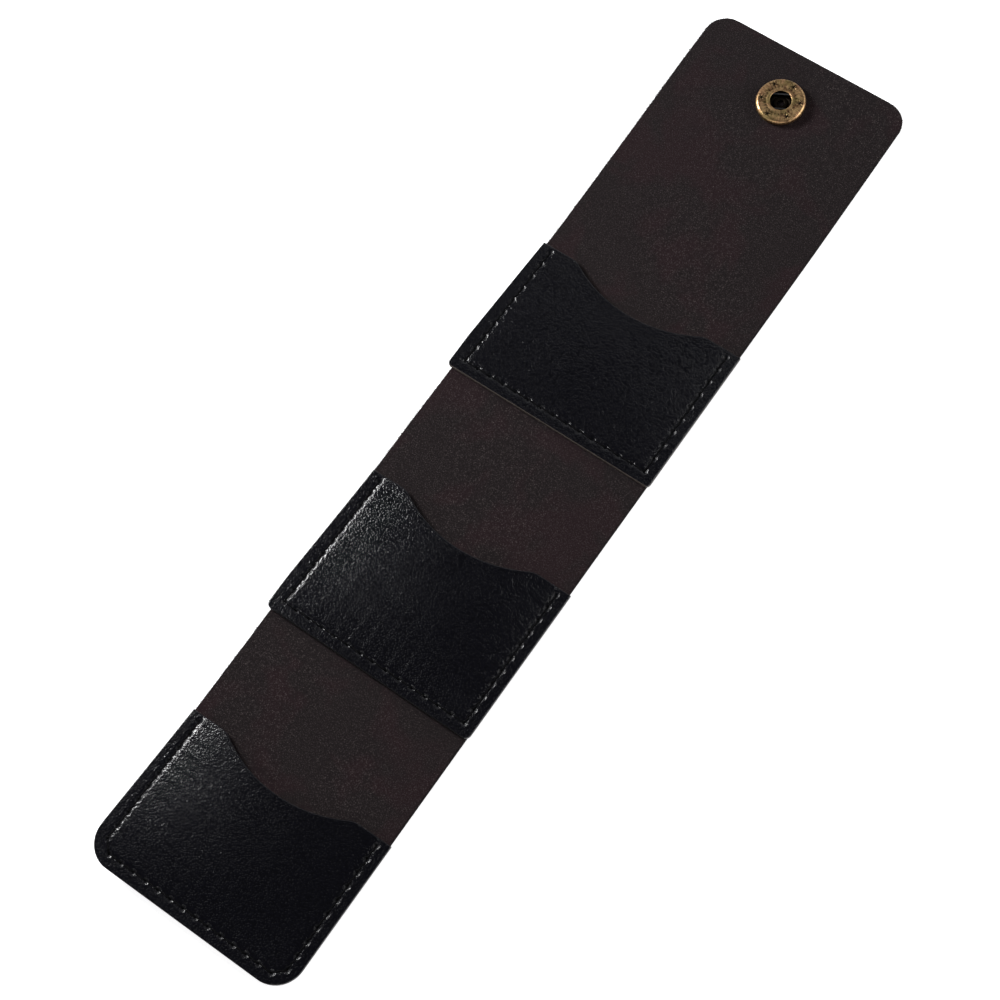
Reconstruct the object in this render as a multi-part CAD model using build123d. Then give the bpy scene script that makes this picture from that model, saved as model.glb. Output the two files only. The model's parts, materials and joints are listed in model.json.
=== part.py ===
from build123d import *
import math
import os

os.makedirs("parts", exist_ok=True)

# A folding case for guitar picks, lying open with its lining up. Sizes are in millimetres.
# X runs across the strip, Y along it towards the flap's end, and Z up from the floor under the stud.

# Thickness of each layer
outer_thickness = 0.8
lining_thickness = 0.5
pocket_thickness = 1.0
strip_thickness = outer_thickness + lining_thickness

# The strip, seen from above
half_length = 133.0
strip_left = -29.0
strip_right = 29.5
flap_corner = 6.0
end_corner = 7.5

# Levels
stud_height = 3.3
leather_bottom = stud_height
lining_bottom = leather_bottom + outer_thickness
lining_top = lining_bottom + lining_thickness
flange_top = lining_top + pocket_thickness
seam_middle = (leather_bottom + flange_top) / 2

# Pockets: flat where they are sewn, and swollen over the hollow that takes the picks
crown_rise = 1.0
pocket_stand = pocket_thickness + crown_rise
pocket_left_mouth = -28.7
pocket_left_bottom = -30.0
pocket_right = 30.0
taper_end = 9.0
scoop_x = 0.5
scoop_chord = 38.0
scoop_depth = 5.4
scoop_radius = (scoop_chord**2 / 4 + scoop_depth**2) / (2 * scoop_depth)
shoulder_radius = 6.0
rise_length = 22.0
pockets = {
    1: {"bottom": 13.6, "mouth": 53.8, "corner": 1.2, "corner_cut": 0.0},
    2: {"bottom": -61.2, "mouth": -18.8, "corner": 1.6, "corner_cut": 0.0},
    3: {"bottom": -half_length, "mouth": -91.2, "corner": end_corner, "corner_cut": 2.6},
}

# Seams
seam_left_mouth = -25.7
seam_left_bottom = -26.6
seam_right = 27.0
seam_above_bottom = 3.1
seam_below_mouth = 1.7
stitch_pitch = 3.8
hole_diameter = 0.9
thread_diameter = 0.7
stitch_width = 0.6
stitch_height = 0.4
groove_width = 0.8
groove_depth = 0.42
seam_to_crown = 1.7

# Folds: each is a short stretch of strip with a hinge line at both its ends, at the lining's surface.
# Its width is the gap that it leaves between the two panels when the case is closed.
play = 0.3
snap_stack = 4.2
inner_fold_width = 2 * pocket_stand + 2 * play
back_fold_width = pocket_stand + play + strip_thickness + inner_fold_width
flap_fold_width = back_fold_width + strip_thickness + snap_stack
joint_gap = 0.25
panel_1_top = 82.0
panel_1_bottom = 12.9
panel_2_top = panel_1_bottom - back_fold_width
panel_2_bottom = -62.2
panel_3_top = panel_2_bottom - inner_fold_width
flap_bottom = panel_1_top + flap_fold_width

# Stretches of the strip from the flap to the other end, each as its low and high Y
stretches = {
    "flap": (flap_bottom, half_length),
    "flap_fold": (panel_1_top, flap_bottom),
    "panel_1": (panel_1_bottom, panel_1_top),
    "back_fold": (panel_2_top, panel_1_bottom),
    "panel_2": (panel_2_bottom, panel_2_top),
    "inner_fold": (panel_3_top, panel_2_bottom),
    "panel_3": (-half_length, panel_3_top),
}

# Snap: the socket is on the flap, and the stud is where the closed flap brings the socket over panel 2
snap_x = -0.3
socket_y = 118.1
closed_snap_y = panel_1_top - (socket_y - flap_bottom)
stud_y = panel_1_bottom + panel_2_top - closed_snap_y
barrel_radius = 1.1
barrel_bore = 0.8
barrel_hole = 1.2
socket_radius = 6.4
socket_height = 2.3
socket_hole = 2.75
plate = 0.35
shell = 0.3
spring_wire = 0.5
spring_half_gap = 2.15
spring_leg = 4.3
spring_bend_y = 3.2
spring_above_lining = 1.5
spring_turn = -63.0
lip_clearance = 0.02
cap_radius = 6.4
cap_height = 2.6
stud_flange_radius = 5.25
stud_neck = 1.75
stud_head = 2.25
stud_bore = 1.2
post_flange_radius = 4.5
post_flange = 0.6


def strip_outline():
    # the whole strip from above, with two corner sizes
    width = strip_right - strip_left
    middle = (strip_left + strip_right) / 2
    face = Pos(middle, 0) * Rectangle(width, 2 * half_length)
    by_y = face.vertices().sort_by(Axis.Y)
    face = fillet(by_y[:2], end_corner)
    by_y = face.vertices().sort_by(Axis.Y)
    return fillet(by_y[-2:], flap_corner)


def strip_layer(name, bottom, thickness):
    # one stretch of the leather or of its lining, a little short at each hinge line
    low, high = stretches[name]
    low_gap = 0 if low == -half_length else joint_gap / 2
    high_gap = 0 if high == half_length else joint_gap / 2
    length = (high - high_gap) - (low + low_gap)
    middle = ((high - high_gap) + (low + low_gap)) / 2
    layer = Pos(0, 0, bottom) * extrude(strip_outline(), thickness)
    window = Pos(0, middle, bottom) * Box(3 * pocket_right, length, 3 * thickness)
    return layer & window


def spread(start, end):
    # evenly spaced points from start up to just before end
    steps = max(1, round(math.dist(start, end) / stitch_pitch))
    return [
        (start[0] + (end[0] - start[0]) * n / steps, start[1] + (end[1] - start[1]) * n / steps)
        for n in range(steps)
    ]


def seam_corners(pocket):
    # where the seam turns: down the left side, along the bottom and up the right side
    top = pocket["mouth"] - seam_below_mouth
    row = pocket["bottom"] + seam_above_bottom
    cut = pocket["corner_cut"]
    corners = [(seam_left_mouth, top), (seam_left_bottom, row + cut), (seam_right, row + cut), (seam_right, top)]
    if cut:
        corners[2:2] = [(seam_left_bottom + cut, row), (seam_right - cut, row)]
    return corners


def seam_points(pocket):
    # every stitch hole of a seam, in order
    corners = seam_corners(pocket)
    points = []
    for start, end in zip(corners, corners[1:]):
        points += spread(start, end)
    return points + [corners[-1]]


def holes(points, radius, low, high):
    return [Pos(x, y, (low + high) / 2) * Cylinder(radius, high - low + 2) for x, y in points]


def bar(start, end, width, low, high):
    # a straight bar between two points of a seam
    (x1, y1), (x2, y2) = start, end
    turn = math.degrees(math.atan2(y2 - y1, x2 - x1))
    place = Pos((x1 + x2) / 2, (y1 + y2) / 2, (low + high) / 2) * Rot(0, 0, turn)
    return place * Box(math.dist(start, end), width, high - low)


def groove(pocket):
    # the shallow channel on the outside of the case that the bobbin thread lies in
    corners = seam_corners(pocket)
    low, high = leather_bottom - 1, leather_bottom + groove_depth
    runs = [bar(start, end, groove_width, low, high) for start, end in zip(corners, corners[1:])]
    ends = [Pos(x, y, (low + high) / 2) * Cylinder(groove_width / 2, high - low) for x, y in corners]
    return runs + ends


def pocket_outline(pocket):
    # the pocket from above: straight shoulders, a scooped mouth between them and two bottom corners
    low, high = pocket["bottom"], pocket["mouth"]
    corners = [
        (pocket_left_mouth, high),
        (pocket_left_bottom, low + taper_end),
        (pocket_left_bottom, low),
        (pocket_right, low),
        (pocket_right, high),
    ]
    face = make_face(Polyline(*corners, close=True))
    face = fillet(face.vertices().sort_by(Axis.Y)[:2], pocket["corner"])
    face -= Pos(scoop_x, high - scoop_depth + scoop_radius) * Circle(scoop_radius)
    shoulders = [v for v in face.vertices() if abs(v.Y - high) < 0.01 and abs(v.X) < scoop_chord / 2 + 2]
    return fillet(shoulders, shoulder_radius)


def crown(pocket, base):
    # the swelling above the level base: an arch across X that also climbs from the bottom seam
    left = seam_left_bottom + seam_to_crown
    right = seam_right - seam_to_crown
    arch = make_face(
        Plane.XZ
        * Curve(
            [
                ThreePointArc((left, base), ((left + right) / 2, base + crown_rise), (right, base)),
                Line((right, base), (left, base)),
            ]
        )
    )
    across = extrude(arch, 2 * half_length, both=True)
    start = pocket["bottom"] + seam_above_bottom + seam_to_crown
    end = pocket["mouth"] + 1
    radius = (rise_length**2 + crown_rise**2) / (2 * crown_rise)
    half_turn = math.asin(rise_length / radius) / 2
    bend = (
        start + rise_length - radius * math.sin(half_turn),
        base + crown_rise - radius * (1 - math.cos(half_turn)),
    )
    climb = make_face(
        Plane.YZ
        * Curve(
            [
                ThreePointArc((start, base), bend, (start + rise_length, base + crown_rise)),
                Line((start + rise_length, base + crown_rise), (end, base + crown_rise)),
                Line((end, base + crown_rise), (end, base)),
                Line((end, base), (start, base)),
            ]
        )
    )
    along = extrude(climb, 2 * pocket_right, both=True)
    return across & along


def pocket_leather(pocket):
    outline = pocket_outline(pocket)
    sheet = Pos(0, 0, lining_top) * extrude(outline, pocket_thickness)
    column = Pos(0, 0, lining_top) * extrude(outline, 2 * pocket_stand)
    raised = sheet + (crown(pocket, flange_top) & column)
    hollow = raised - crown(pocket, lining_top)
    return hollow - holes(seam_points(pocket), hole_diameter / 2, lining_top, flange_top)


def thread(points, surface, out):
    # one thread: a stitch lying on the surface between each two holes, and a leg down each hole
    tip = surface + out * stitch_height
    low, high = min(tip, seam_middle), max(tip, seam_middle)
    legs = [Pos(x, y, (low + high) / 2) * Cylinder(thread_diameter / 2, high - low) for x, y in points]
    level = min(surface, tip), max(surface, tip)
    bars = [bar(start, end, stitch_width, *level) for start, end in zip(points, points[1:])]
    return legs[0].fuse(*legs[1:], *bars)


def turned(points, radii):
    # a piece turned about Z, from its section in (radius, height) and a rounding for each corner
    section = FilletPolyline(*points, radius=radii, close=True)
    return revolve(make_face(Plane.XZ * section), Axis.Z)


def snap_socket():
    # a hollow ring with a flat back, a rounded rim and a raised lip round its hole
    top = socket_height
    points = [
        (barrel_hole, 0),
        (socket_radius, 0),
        (socket_radius, top),
        (socket_hole + 1.1, top - 0.2),
        (socket_hole + 0.75, top),
        (socket_hole, top),
        (socket_hole, top - shell - 0.2),
        (socket_radius - shell, top - shell - 0.2),
        (socket_radius - shell, plate),
        (barrel_hole, plate),
    ]
    radii = [0, 0.9, 0.9, 0.1, 0.2, 0.25, 0.1, 0.6, 0.6, 0]
    return Pos(snap_x, socket_y, lining_top) * turned(points, radii)


def snap_spring():
    # one wire bent round into two straight legs, which grip the stud's neck
    z = lining_top + spring_above_lining
    bend = spring_bend_y
    route = Curve(
        [
            Line((-spring_half_gap, -spring_leg, z), (-spring_half_gap, bend, z)),
            ThreePointArc(
                (-spring_half_gap, bend, z),
                (0, bend + spring_half_gap, z),
                (spring_half_gap, bend, z),
            ),
            Line((spring_half_gap, bend, z), (spring_half_gap, -spring_leg, z)),
        ]
    )
    start = Plane(origin=(-spring_half_gap, -spring_leg, z), z_dir=(0, 1, 0))
    wire = sweep(start * Circle(spring_wire / 2), path=route)
    return Pos(snap_x, socket_y, 0) * Rot(0, 0, spring_turn) * wire


def snap_cap():
    # a domed cap on the outside of the flap, with a barrel through to the socket and rolled over inside it
    lip_low = strip_thickness + plate + lip_clearance
    points = [
        (0, -cap_height),
        (4.6, -cap_height + 0.75),
        (cap_radius, -0.9),
        (cap_radius, 0),
        (barrel_radius, 0),
        (barrel_radius, lip_low),
        (barrel_radius + 0.7, lip_low),
        (barrel_radius + 0.7, lip_low + plate),
        (barrel_bore, lip_low + plate),
        (barrel_bore, -0.8),
        (0, -0.8),
    ]
    radii = [0, 6.0, 0.9, 0.3, 0, 0, 0.15, 0.15, 0.3, 0, 0]
    return Pos(snap_x, socket_y, leather_bottom) * turned(points, radii)


def snap_stud():
    # the stud under panel 2: a flange, a neck for the spring to grip and a rounded head
    points = [
        (stud_bore, 0),
        (stud_flange_radius, 0),
        (stud_flange_radius, -0.55),
        (stud_neck + 0.9, -0.9),
        (stud_neck, -1.0),
        (stud_neck, -2.9),
        (stud_head, -3.05),
        (stud_head, -stud_height),
        (stud_bore + 0.3, -stud_height),
        (stud_bore + 0.3, -stud_height + 0.45),
        (stud_bore, -stud_height + 0.45),
    ]
    radii = [0, 0.15, 0.3, 0.4, 0.2, 0.1, 0.06, 0.12, 0, 0, 0]
    return Pos(snap_x, stud_y, leather_bottom) * turned(points, radii)


def snap_post():
    # the eyelet inside pocket 2, whose barrel goes through the strip and is rolled over in the stud's tip
    top = strip_thickness
    lip = -stud_height + 0.45 - lip_clearance
    points = [
        (barrel_bore, top + post_flange),
        (barrel_bore, lip - 0.3),
        (stud_bore + 0.25, lip - 0.3),
        (stud_bore + 0.25, lip),
        (barrel_radius, lip),
        (barrel_radius, top),
        (post_flange_radius, top),
        (post_flange_radius, top + post_flange),
    ]
    radii = [0.25, 0.15, 0.1, 0, 0, 0, 0.15, 0.3]
    return Pos(snap_x, stud_y, leather_bottom) * turned(points, radii)


seams = {n: seam_points(pocket) for n, pocket in pockets.items()}
snap_holes = {"flap": [(snap_x, socket_y)], "panel_2": [(snap_x, stud_y)]}

nodes = {}
for name in stretches:
    sewn = [points for n, points in seams.items() if name == f"panel_{n}"]
    stitch_holes = sewn[0] if sewn else []
    cuts = holes(stitch_holes, hole_diameter / 2, leather_bottom, lining_top)
    cuts += holes(snap_holes.get(name, []), barrel_hole, leather_bottom, lining_top)
    grooves = [solid for n, pocket in pockets.items() if name == f"panel_{n}" for solid in groove(pocket)]
    leather = strip_layer(name, leather_bottom, outer_thickness)
    lining = strip_layer(name, lining_bottom, lining_thickness)
    nodes[f"outer_leather_{name}"] = leather - (cuts + grooves) if cuts else leather
    nodes[f"suede_lining_{name}"] = lining - cuts if cuts else lining

for n, pocket in pockets.items():
    nodes[f"pocket_leather_{n}"] = pocket_leather(pocket)
    nodes[f"top_thread_{n}"] = thread(seams[n], flange_top, 1)
    nodes[f"bobbin_thread_{n}"] = thread(seams[n], leather_bottom + stitch_height, -1)

nodes["snap_socket"] = snap_socket()
nodes["snap_spring"] = snap_spring()
nodes["snap_cap"] = snap_cap()
nodes["snap_stud"] = snap_stud()
nodes["snap_post"] = snap_post()

for name, shape in nodes.items():
    export_step(shape, f"parts/{name}.step")

print("folds", round(inner_fold_width, 2), round(back_fold_width, 2), round(flap_fold_width, 2))
print("stud at y", round(stud_y, 2), "stitches", {n: len(points) for n, points in seams.items()})
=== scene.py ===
import json
import math
import bpy
import numpy as np
from mathutils import Matrix, Vector

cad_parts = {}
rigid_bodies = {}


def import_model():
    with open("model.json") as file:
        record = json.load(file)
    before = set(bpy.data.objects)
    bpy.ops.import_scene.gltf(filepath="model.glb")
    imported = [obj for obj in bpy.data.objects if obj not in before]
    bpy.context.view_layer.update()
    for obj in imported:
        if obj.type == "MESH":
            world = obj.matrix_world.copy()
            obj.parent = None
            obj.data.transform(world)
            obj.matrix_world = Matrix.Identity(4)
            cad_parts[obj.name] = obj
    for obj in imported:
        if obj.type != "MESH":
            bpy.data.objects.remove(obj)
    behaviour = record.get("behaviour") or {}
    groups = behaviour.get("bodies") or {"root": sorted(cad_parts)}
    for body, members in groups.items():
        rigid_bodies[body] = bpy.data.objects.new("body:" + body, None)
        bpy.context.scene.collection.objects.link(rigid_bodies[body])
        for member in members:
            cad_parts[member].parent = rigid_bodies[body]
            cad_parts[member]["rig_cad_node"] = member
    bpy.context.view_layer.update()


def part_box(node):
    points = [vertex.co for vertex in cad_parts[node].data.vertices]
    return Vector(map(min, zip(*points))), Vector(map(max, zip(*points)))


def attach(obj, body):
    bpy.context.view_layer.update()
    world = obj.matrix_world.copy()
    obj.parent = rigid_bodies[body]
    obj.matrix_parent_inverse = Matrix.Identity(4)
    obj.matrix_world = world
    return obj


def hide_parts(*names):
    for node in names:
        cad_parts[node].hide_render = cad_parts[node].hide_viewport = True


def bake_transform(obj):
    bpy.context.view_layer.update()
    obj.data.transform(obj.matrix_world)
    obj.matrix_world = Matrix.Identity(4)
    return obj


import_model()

# A folding leather case for guitar picks, lying open with its lining up.
# Lengths are written in millimetres here and turned to metres as each mesh is made.
mm = 0.001
dice = np.random.default_rng(11)     # the seed is fixed, so each run makes the same fibres

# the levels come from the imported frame, so the pieces sit where it has them
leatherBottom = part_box("outer_leather_panel_1")[0][2] / mm
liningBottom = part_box("suede_lining_panel_1")[0][2] / mm
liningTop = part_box("suede_lining_panel_1")[1][2] / mm
pocketThickness = 1.0
flangeTop = liningTop + pocketThickness
print("frame loaded, lining top at", round(liningTop, 3), "mm")


# small helpers

def toLinear(hexColour):
    # sRGB hex to the linear colour that the shaders want
    parts = [int(hexColour[i:i + 2], 16) / 255 for i in (1, 3, 5)]
    return tuple(c / 12.92 if c <= 0.04045 else ((c + 0.055) / 1.055) ** 2.4 for c in parts) + (1.0,)


def addNode(tree, kind, settings=None, links=None):
    # settings go to the node's own properties or to its sockets, links join other nodes' outputs to its sockets
    node = tree.nodes.new(kind)
    for key, value in (settings or {}).items():
        if isinstance(key, str) and hasattr(node, key):
            setattr(node, key, value)
        else:
            node.inputs[key].default_value = value
    for key, source in (links or {}).items():
        tree.links.new(source, node.inputs[key])
    return node


def newMaterial(name):
    material = bpy.data.materials.new(name)
    material.use_nodes = True
    material.node_tree.nodes.clear()
    return material, material.node_tree


def addField(piece, name, values, kind="FLOAT"):
    # a number or a vector at each point, for the materials to read
    field = piece.data.attributes.new(name, kind, "POINT")
    part = "value" if kind == "FLOAT" else "vector"
    field.data.foreach_set(part, np.asarray(values, np.float32).ravel())


def meshObject(name, points, faces, materials, faceSlots=None):
    # points in millimetres, with the rest position stored so that patterns stay put when a piece bends
    points = np.asarray(points, float) * mm
    mesh = bpy.data.meshes.new(name)
    mesh.from_pydata(points.tolist(), [], faces)
    for material in materials:
        mesh.materials.append(material)
    if faceSlots is not None:
        mesh.polygons.foreach_set("material_index", np.asarray(faceSlots, np.int32))
    mesh.polygons.foreach_set("use_smooth", np.full(len(faces), True))
    mesh.update()
    piece = bpy.data.objects.new(name, mesh)
    bpy.context.scene.collection.objects.link(piece)
    addField(piece, "restPlace", points, "FLOAT_VECTOR")
    return piece


def ripple(x, y, size, seed):
    # a smooth wavy field of about -1 to 1 with bumps of the given size
    turn = np.random.default_rng(seed)
    waves, usualSum = 7, 4
    total = 0
    for _ in range(waves):
        heading, phase = turn.uniform(0, 2 * math.pi, 2)
        length = size * turn.uniform(0.7, 1.6)
        total = total + np.sin((x * math.cos(heading) + y * math.sin(heading)) * 2 * math.pi / length + phase)
    return total / usualSum


def segmentDistance(x, y, start, end):
    (ax, ay), (bx, by) = start, end
    along = np.clip(((x - ax) * (bx - ax) + (y - ay) * (by - ay)) / ((bx - ax) ** 2 + (by - ay) ** 2), 0, 1)
    return np.hypot(x - ax - along * (bx - ax), y - ay - along * (by - ay))


def sheetFaces(rows, cols):
    # faces of a closed sheet: upper table, lower table and four walls, as three groups
    index = np.arange(rows * cols).reshape(rows, cols)
    low = index + rows * cols
    a, b, c, d = index[:-1, :-1], index[:-1, 1:], index[1:, 1:], index[1:, :-1]
    upper = np.stack([a, b, c, d], -1).reshape(-1, 4)
    lower = np.stack([d, c, b, a], -1).reshape(-1, 4) + rows * cols
    sides = [
        np.stack([index[0, :-1], low[0, :-1], low[0, 1:], index[0, 1:]], -1),
        np.stack([index[-1, 1:], low[-1, 1:], low[-1, :-1], index[-1, :-1]], -1),
        np.stack([index[1:, 0], low[1:, 0], low[:-1, 0], index[:-1, 0]], -1),
        np.stack([index[:-1, -1], low[:-1, -1], low[1:, -1], index[1:, -1]], -1),
    ]
    return upper, lower, sides


def sheet(name, x, y, top, bottom, materials, openEnds=(False, False), extra=None, edgeRows=0):
    # a closed sheet from tables of rows by columns, with the first material above, the second below and the
    # third on its walls; an open end's wall has points of its own, so that the shading runs on into the next
    # piece, and the first rows on top can have the walls' material
    rows, cols = x.shape
    points = [np.stack([x, y, top], -1).reshape(-1, 3), np.stack([x, y, bottom], -1).reshape(-1, 3)]
    upper, lower, sides = sheetFaces(rows, cols)
    count = 2 * rows * cols
    walls = []
    for side, isOpen in zip(sides, (*openEnds, False, False)):
        if isOpen:
            both = np.concatenate(points[:2])
            used, back = np.unique(side, return_inverse=True)
            points.append(both[used])
            side = back.reshape(side.shape) + count
            count += len(used)
        walls.append(side)
    walls = np.concatenate(walls)
    onTop, below, around = 0, 1, 2
    edged = edgeRows * (cols - 1)
    faces = upper.tolist() + lower.tolist() + walls.tolist()
    slots = [around] * edged + [onTop] * (len(upper) - edged) + [below] * len(lower) + [around] * len(walls)
    if extra:
        morePoints, moreFaces = extra
        faces += (np.asarray(moreFaces) + count).tolist()
        slots += [onTop] * len(moreFaces)
        points.append(np.asarray(morePoints))
    return meshObject(name, np.concatenate(points), faces, materials, slots)


# distances from a rounded edge at which the mesh has lines
closeLines = (0.0, 0.05, 0.12, 0.22, 0.36, 0.6)
leastGap = 0.03


def apart(lines, gap=leastGap):
    # lines that fall together would leave faces without area, which spoil the shading round them
    return lines[np.concatenate([[True], np.diff(lines) > gap])]


def evenLines(start, end, step, closeAtStart, closeAtEnd):
    # evenly spaced lines, with closer ones at the ends where an edge is rounded
    lines = [*np.linspace(start, end, max(2, math.ceil((end - start) / step) + 1))]
    if closeAtStart:
        lines += [start + gap for gap in closeLines]
    if closeAtEnd:
        lines += [end - gap for gap in closeLines]
    lines = apart(np.unique(np.round(lines, 5)))
    lines[-1] = end
    return lines


def roundOver(distance, radius):
    # how far a rounded edge falls at this distance from the edge
    d = np.clip(distance, 0, radius)
    return radius - np.sqrt(np.maximum(radius ** 2 - (radius - d) ** 2, 0))


# materials

def pointField(tree, name, part="Vector"):
    return addNode(tree, "ShaderNodeAttribute", {"attribute_name": name}).outputs[part]


def noise(tree, place, scale, detail, roughness=0.5, distortion=0.0):
    settings = {"Scale": scale, "Detail": detail, "Roughness": roughness, "Distortion": distortion}
    return addNode(tree, "ShaderNodeTexNoise", settings, {"Vector": place}).outputs


def remapped(tree, value, start, end=(0.0, 1.0)):
    # a value that runs from one pair of numbers to another, and stops there
    settings = {"From Min": start[0], "From Max": start[1], "To Min": end[0], "To Max": end[1]}
    return addNode(tree, "ShaderNodeMapRange", settings, {"Value": value}).outputs["Result"]


def mixed(tree, share, first, second):
    # a colour between two, each of them a hex colour or another node's output
    settings, links = {"data_type": "RGBA"}, {0: share}
    for socket, colour in ((6, first), (7, second)):
        if isinstance(colour, str):
            settings[socket] = toLinear(colour)
        else:
            links[socket] = colour
    return addNode(tree, "ShaderNodeMix", settings, links).outputs[2]


def relief(tree, height, depth, strength=1.0):
    # bumps of this depth in millimetres
    bump = addNode(tree, "ShaderNodeBump", {"Strength": strength, "Distance": depth * mm}, {"Height": height})
    return bump.outputs["Normal"]


def finished(material, tree, settings, links):
    shader = addNode(tree, "ShaderNodeBsdfPrincipled", settings, links)
    addNode(tree, "ShaderNodeOutputMaterial", {}, {"Surface": shader.outputs[0]})
    return material


leatherLook = {
    "colour": "#07070f",         # black with a little blue in it
    # painted shade: the creases between the pebbles are coloured darker than their tops
    "creaseShadeColour": "#030308",
    "grainSize": 0.47,           # millimetres across one pebble, a little coarser than the real one so that it shows
    "grainDepth": 0.034,
    "pebbleSpan": (0.0, 0.45),   # squared distance from the middle of a pebble to its crease
    "wander": 0.4,               # millimetres that a pebble may stray from its place
    "poresPerPebble": 3.2,
    "poreShare": 0.2,            # relief of the pores beside that of the pebbles
    "blotchesPerMm": 0.09,
    "roughness": (0.12, 0.19),   # it varies between these two
    "crushedRoughness": 0.35,    # how much duller the finish is round a stitch hole
    "specular": (0.5, 0.1),      # on the whole leather and where the finish is crushed
}


def pebbledCalf(name, look):
    # corrected-grain leather: dyed black, embossed with a fine pebble and given a thin satin finish, so it is
    # nearly black but breaks up a highlight into many small dots
    material, tree = newMaterial(name)
    place = pointField(tree, "restPlace")
    perMetre = 1 / (look["grainSize"] * mm)
    wander = noise(tree, place, perMetre * 0.6, 2.0)["Color"]
    shifted = addNode(tree, "ShaderNodeVectorMath", {"operation": "MULTIPLY_ADD", 1: (look["wander"] * mm,) * 3},
                      {0: wander, 2: place})
    pebbles = addNode(tree, "ShaderNodeTexVoronoi", {"feature": "F1", "Scale": perMetre},
                      {"Vector": shifted.outputs[0]})
    squared = addNode(tree, "ShaderNodeMath", {"operation": "POWER", 1: 2.0}, {0: pebbles.outputs["Distance"]})
    dome = remapped(tree, squared.outputs[0], look["pebbleSpan"], (1.0, 0.0))
    pores = noise(tree, place, perMetre * look["poresPerPebble"], 2.0, 0.6)["Fac"]
    height = addNode(tree, "ShaderNodeMath", {"operation": "MULTIPLY_ADD", 1: look["poreShare"]}, {0: pores, 2: dome})
    blotch = noise(tree, place, look["blotchesPerMm"] / mm, 3.0)["Fac"]
    # the needle has crushed the finish round each stitch hole, so it is dull there
    crushed = pointField(tree, "crushed", "Fac")
    dull = addNode(tree, "ShaderNodeMath", {"operation": "MULTIPLY_ADD", 1: look["crushedRoughness"]},
                   {0: crushed, 2: remapped(tree, blotch, (0.0, 1.0), look["roughness"])})
    # the creases between the pebbles get the painted crease shade
    return finished(material, tree, {"IOR": 1.5},
                    {"Base Color": mixed(tree, dome, look["creaseShadeColour"], look["colour"]),
                     "Roughness": dull.outputs[0],
                     "Specular IOR Level": remapped(tree, crushed, (0.0, 1.0), look["specular"]),
                     "Normal": relief(tree, height.outputs[0], look["grainDepth"])})


edgeLook = {
    "gap": "#060607",            # dye between the fibres
    "fibresPerMm": 2.6,
    "fibreDepth": 0.03,
    "specular": 0.25,
}


def cutEdge(name, hexColour, roughness, look=edgeLook):
    # cut edge or back of the leather: smoother than the grain, a little lighter, with faint fibres in the dye
    material, tree = newMaterial(name)
    fibres = noise(tree, pointField(tree, "restPlace"), look["fibresPerMm"] / mm, 3.0)["Fac"]
    return finished(material, tree, {"Roughness": roughness, "IOR": 1.5, "Specular IOR Level": look["specular"]},
                    {"Base Color": mixed(tree, fibres, look["gap"], hexColour),
                     "Normal": relief(tree, fibres, look["fibreDepth"], 0.7)})


suedeLook = {
    "dark": "#161213",
    "light": "#241f20",
    "fleck": "#716766",          # single fibres that catch the light
    "warm": "#28181c",           # patches where the nap is brushed the other way
    "fibreSize": 0.3,            # millimetres across one tuft of nap
    "napDepth": 0.07,
    "patchesPerMm": 0.07,
    # where the noise of the tufts, patches and flecks begins to show and is full, and how strong it is there
    "tuftShows": ((0.36, 0.68), (0.0, 1.0)),
    "warmShows": ((0.48, 0.6), (0.0, 0.5)),
    "fleckShows": ((0.57, 0.7), (0.0, 0.45)),
    "sheen": 0.25,
    "sheenTint": "#8b7e81",
    "roughness": 0.95,
    "specular": 0.15,
}


def nappedSuede(name, look):
    # split leather buffed to a short nap: no gloss at all, soft light at grazing angles and a salt-and-pepper
    # look where single tufts catch the light
    material, tree = newMaterial(name)
    place = pointField(tree, "restPlace")
    perMetre = 1 / (look["fibreSize"] * mm)
    tufts = noise(tree, place, perMetre, 4.0, 0.7)["Fac"]
    brushed = noise(tree, place, look["patchesPerMm"] / mm, 3.0, distortion=0.4)["Fac"]
    tips = noise(tree, place, perMetre * 1.25, 2.0, 0.6)["Fac"]
    tone = mixed(tree, remapped(tree, tufts, *look["tuftShows"]), look["dark"], look["light"])
    tone = mixed(tree, remapped(tree, brushed, *look["warmShows"]), tone, look["warm"])
    tone = mixed(tree, remapped(tree, tips, *look["fleckShows"]), tone, look["fleck"])
    return finished(material, tree,
                    {"Roughness": look["roughness"], "IOR": 1.4, "Specular IOR Level": look["specular"],
                     "Sheen Weight": look["sheen"], "Sheen Roughness": 0.55,
                     "Sheen Tint": toLinear(look["sheenTint"])},
                    {"Base Color": tone, "Normal": relief(tree, tufts, look["napDepth"])})


threadLook = {
    "dark": "#050506",
    "light": "#0f0f11",
    "lintPerMm": 5.2,
    "lintDepth": 0.02,
    "roughness": 0.75,
    "specular": 0.06,
}


def bondedThread(name, look):
    # black polyester sewing thread, plies bonded and twisted: dull and a little hairy
    material, tree = newMaterial(name)
    lint = noise(tree, pointField(tree, "restPlace"), look["lintPerMm"] / mm, 2.0)["Fac"]
    return finished(material, tree,
                    {"Roughness": look["roughness"], "IOR": 1.5, "Specular IOR Level": look["specular"]},
                    {"Base Color": mixed(tree, lint, look["dark"], look["light"]),
                     "Normal": relief(tree, lint, look["lintDepth"], 0.6)})


brassLook = {
    "bright": "#cdaa7a",
    "inside": "#1a1612",         # painted shade for what lies in the dark inside the snap, and the patina in the ring's pressed marks and groove
    "roughness": (0.26, 0.54),
    "scratchDepth": 0.03,
    "scratchesPerMm": 2.5,
    # stains over the bright metal: colour, patches in a millimetre, where it begins and is full, and its strength
    "tarnish": ("#5c3c2b", 1.0, 0.46, 0.64, 0.8),
    "rose": ("#bd8a6c", 0.42, 0.52, 0.6, 0.35),
    "green": ("#7d7646", 0.33, 0.5, 0.6, 0.5),
    "streak": ("#55392a", None, 0.48, 0.68, 0.8),
}


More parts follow.
